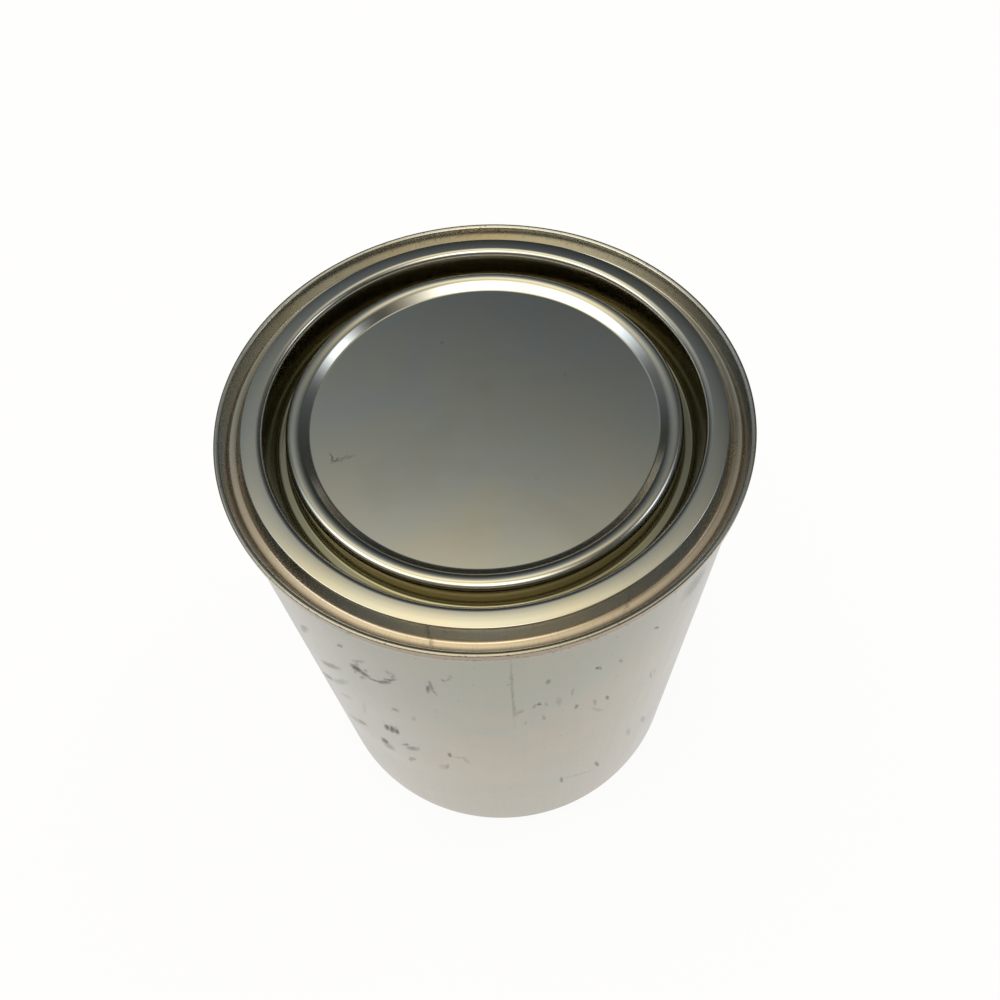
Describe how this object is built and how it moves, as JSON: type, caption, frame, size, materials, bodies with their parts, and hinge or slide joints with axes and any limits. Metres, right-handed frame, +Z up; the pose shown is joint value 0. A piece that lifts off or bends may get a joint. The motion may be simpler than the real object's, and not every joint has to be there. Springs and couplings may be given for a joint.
{
  "type": "empty tin can",
  "caption": "Shut round tinplate can with a press-in lever lid, a seamed lever ring, a straight drawn body and a countersunk base.",
  "frame": {"origin": "middle of the base, on the surface that the can stands on", "axes": "+Z up along the can's axis of symmetry; the can is round, so X and Y are free, with -Y towards the viewer"},
  "size_m": [0.1098, 0.1098, 0.132],
  "materials": {
    "body_tinplate": "satin bare tinplate, lightly scuffed",
    "ring_tinplate": "satin bare tinplate, scratched on the ledge",
    "lid_tinplate": "satin bare tinplate"
  },
  "bodies": {
    "root": {"can_body": "body_tinplate", "lever_ring": "ring_tinplate", "lid": "lid_tinplate"}
  },
  "joints": []
}
